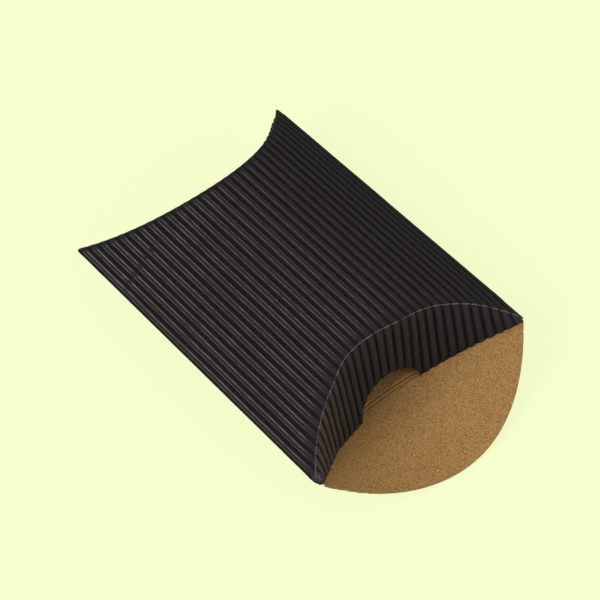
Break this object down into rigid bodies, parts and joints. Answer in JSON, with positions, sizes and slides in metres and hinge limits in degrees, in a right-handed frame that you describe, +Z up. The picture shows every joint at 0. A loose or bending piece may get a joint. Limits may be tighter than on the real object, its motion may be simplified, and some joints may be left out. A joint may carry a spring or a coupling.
{
  "type": "pillow box",
  "caption": "Curved pillow box of black open-fluted board with kraft inside: notched inner end flap shut, outer end flap laid open, and folded ends at the back.",
  "frame": {"origin": "middle of the belly's flat ribs, on the surface the box lies on, below the middle of the sleeve's length", "axes": "+X across the ribs to the glued side, +Y along the ribs to the shut back end, +Z up"},
  "size_m": [0.0924, 0.1495, 0.0415],
  "materials": {
    "black_fluting": "matte black kraft paper, formed into ribs",
    "kraft_liner": "plain matte kraft paper",
    "crushed_crease": "matte black board, crushed flat along the fold",
    "seam_adhesive": "dried glue film"
  },
  "bodies": {
    "sleeve": {"upper_panel_fluting": "black_fluting", "upper_panel_liner": "kraft_liner", "lower_panel_fluting_left": "black_fluting", "lower_panel_fluting_centre": "black_fluting", "lower_panel_fluting_right": "black_fluting", "lower_panel_liner": "kraft_liner", "left_side_fold": "crushed_crease", "right_side_fold": "crushed_crease", "glue_tab_fluting": "black_fluting", "glue_tab_liner": "kraft_liner", "seam_adhesive": "seam_adhesive", "front_upper_crease": "crushed_crease", "front_lower_crease": "crushed_crease", "back_upper_crease": "crushed_crease", "back_lower_crease": "crushed_crease", "back_lower_flap_fluting": "black_fluting", "back_lower_flap_liner": "kraft_liner"},
    "front_upper_flap_far_left": {"front_upper_flap_far_left_fluting": "black_fluting", "front_upper_flap_far_left_liner": "kraft_liner"},
    "front_upper_flap_left": {"front_upper_flap_left_fluting": "black_fluting", "front_upper_flap_left_liner": "kraft_liner"},
    "front_upper_flap_centre": {"front_upper_flap_centre_fluting": "black_fluting", "front_upper_flap_centre_liner": "kraft_liner"},
    "front_upper_flap_right": {"front_upper_flap_right_fluting": "black_fluting", "front_upper_flap_right_liner": "kraft_liner"},
    "front_upper_flap_far_right": {"front_upper_flap_far_right_fluting": "black_fluting", "front_upper_flap_far_right_liner": "kraft_liner"},
    "front_lower_flap_far_left": {"front_lower_flap_far_left_fluting": "black_fluting", "front_lower_flap_far_left_liner": "kraft_liner"},
    "front_lower_flap_left": {"front_lower_flap_left_fluting": "black_fluting", "front_lower_flap_left_liner": "kraft_liner"},
    "front_lower_flap_centre": {"front_lower_flap_centre_fluting": "black_fluting", "front_lower_flap_centre_liner": "kraft_liner"},
    "front_lower_flap_right": {"front_lower_flap_right_fluting": "black_fluting", "front_lower_flap_right_liner": "kraft_liner"},
    "front_lower_flap_far_right": {"front_lower_flap_far_right_fluting": "black_fluting", "front_lower_flap_far_right_liner": "kraft_liner"},
    "back_upper_flap_far_left": {"back_upper_flap_far_left_fluting": "black_fluting", "back_upper_flap_far_left_liner": "kraft_liner"},
    "back_upper_flap_left": {"back_upper_flap_left_fluting": "black_fluting", "back_upper_flap_left_liner": "kraft_liner"},
    "back_upper_flap_centre": {"back_upper_flap_centre_fluting": "black_fluting", "back_upper_flap_centre_liner": "kraft_liner"},
    "back_upper_flap_right": {"back_upper_flap_right_fluting": "black_fluting", "back_upper_flap_right_liner": "kraft_liner"},
    "back_upper_flap_far_right": {"back_upper_flap_far_right_fluting": "black_fluting", "back_upper_flap_far_right_liner": "kraft_liner"}
  },
  "joints": [
    {"name": "front_upper_flap_fold", "type": "hinge", "parent": "sleeve", "child": "front_upper_flap_centre", "pos_m": [0, -0.044, 0.04015], "axis": [-1, 0, 0], "range_deg": [0, 90], "deforming": ["front_upper_crease"]},
    {"name": "front_upper_flap_left_bend", "type": "hinge", "parent": "front_upper_flap_centre", "child": "front_upper_flap_left", "pos_m": [-0.01132, -0.04505, 0.02065], "axis": [0, 0, -1], "range_deg": [0, 45.37]},
    {"name": "front_upper_flap_far_left_bend", "type": "hinge", "parent": "front_upper_flap_left", "child": "front_upper_flap_far_left", "pos_m": [-0.02963, -0.05159, 0.02065], "axis": [0, 0, -1], "range_deg": [0, 27.23]},
    {"name": "front_upper_flap_right_bend", "type": "hinge", "parent": "front_upper_flap_centre", "child": "front_upper_flap_right", "pos_m": [0.01132, -0.04505, 0.02065], "axis": [0, 0, 1], "range_deg": [0, 45.37]},
    {"name": "front_upper_flap_far_right_bend", "type": "hinge", "parent": "front_upper_flap_right", "child": "front_upper_flap_far_right", "pos_m": [0.02963, -0.05159, 0.02065], "axis": [0, 0, 1], "range_deg": [0, 27.23]},
    {"name": "front_lower_flap_fold", "type": "hinge", "parent": "sleeve", "child": "front_lower_flap_centre", "pos_m": [0, -0.049, 0.00215], "axis": [-1, 0, 0], "range_deg": [0, 90], "deforming": ["front_lower_crease"]},
    {"name": "front_lower_flap_left_bend", "type": "hinge", "parent": "front_lower_flap_centre", "child": "front_lower_flap_left", "pos_m": [-0.01132, -0.0665, 0.0022], "axis": [0, -1, 0], "range_deg": [0, 45.37]},
    {"name": "front_lower_flap_far_left_bend", "type": "hinge", "parent": "front_lower_flap_left", "child": "front_lower_flap_far_left", "pos_m": [-0.02963, -0.0665, 0.00874], "axis": [0, -1, 0], "range_deg": [0, 27.23]},
    {"name": "front_lower_flap_right_bend", "type": "hinge", "parent": "front_lower_flap_centre", "child": "front_lower_flap_right", "pos_m": [0.01132, -0.0665, 0.0022], "axis": [0, 1, 0], "range_deg": [0, 45.37]},
    {"name": "front_lower_flap_far_right_bend", "type": "hinge", "parent": "front_lower_flap_right", "child": "front_lower_flap_far_right", "pos_m": [0.02963, -0.0665, 0.00874], "axis": [0, 1, 0], "range_deg": [0, 27.23]},
    {"name": "back_upper_flap_fold", "type": "hinge", "parent": "sleeve", "child": "back_upper_flap_centre", "pos_m": [0, 0.03762, 0.04015], "axis": [1, 0, 0], "range_deg": [0, 74], "deforming": ["back_upper_crease"]},
    {"name": "back_upper_flap_left_bend", "type": "hinge", "parent": "back_upper_flap_centre", "child": "back_upper_flap_left", "pos_m": [-0.01132, 0.04576, 0.01556], "axis": [0, -0.2756, 0.9613], "range_deg": [0, 39.32]},
    {"name": "back_upper_flap_far_left_bend", "type": "hinge", "parent": "back_upper_flap_left", "child": "back_upper_flap_far_left", "pos_m": [-0.02963, 0.05205, 0.01737], "axis": [0, -0.2756, 0.9613], "range_deg": [0, 33.27]},
    {"name": "back_upper_flap_right_bend", "type": "hinge", "parent": "back_upper_flap_centre", "child": "back_upper_flap_right", "pos_m": [0.01132, 0.04576, 0.01556], "axis": [0, 0.2756, -0.9613], "range_deg": [0, 39.32]},
    {"name": "back_upper_flap_far_right_bend", "type": "hinge", "parent": "back_upper_flap_right", "child": "back_upper_flap_far_right", "pos_m": [0.02963, 0.05205, 0.01737], "axis": [0, 0.2756, -0.9613], "range_deg": [0, 33.27]}
  ],
  "couplings": [
    {"joint": "front_upper_flap_left_bend", "follows": "front_upper_flap_fold", "ratio": 0.50384},
    {"joint": "front_upper_flap_far_left_bend", "follows": "front_upper_flap_fold", "ratio": 0.30231},
    {"joint": "front_upper_flap_right_bend", "follows": "front_upper_flap_fold", "ratio": 0.50384},
    {"joint": "front_upper_flap_far_right_bend", "follows": "front_upper_flap_fold", "ratio": 0.30231},
    {"joint": "front_lower_flap_left_bend", "follows": "front_lower_flap_fold", "ratio": 0.50384},
    {"joint": "front_lower_flap_far_left_bend", "follows": "front_lower_flap_fold", "ratio": 0.30231},
    {"joint": "front_lower_flap_right_bend", "follows": "front_lower_flap_fold", "ratio": 0.50384},
    {"joint": "front_lower_flap_far_right_bend", "follows": "front_lower_flap_fold", "ratio": 0.30231},
    {"joint": "back_upper_flap_left_bend", "follows": "back_upper_flap_fold", "ratio": 0.53108},
    {"joint": "back_upper_flap_far_left_bend", "follows": "back_upper_flap_fold", "ratio": 0.44937},
    {"joint": "back_upper_flap_right_bend", "follows": "back_upper_flap_fold", "ratio": 0.53108},
    {"joint": "back_upper_flap_far_right_bend", "follows": "back_upper_flap_fold", "ratio": 0.44937}
  ]
}
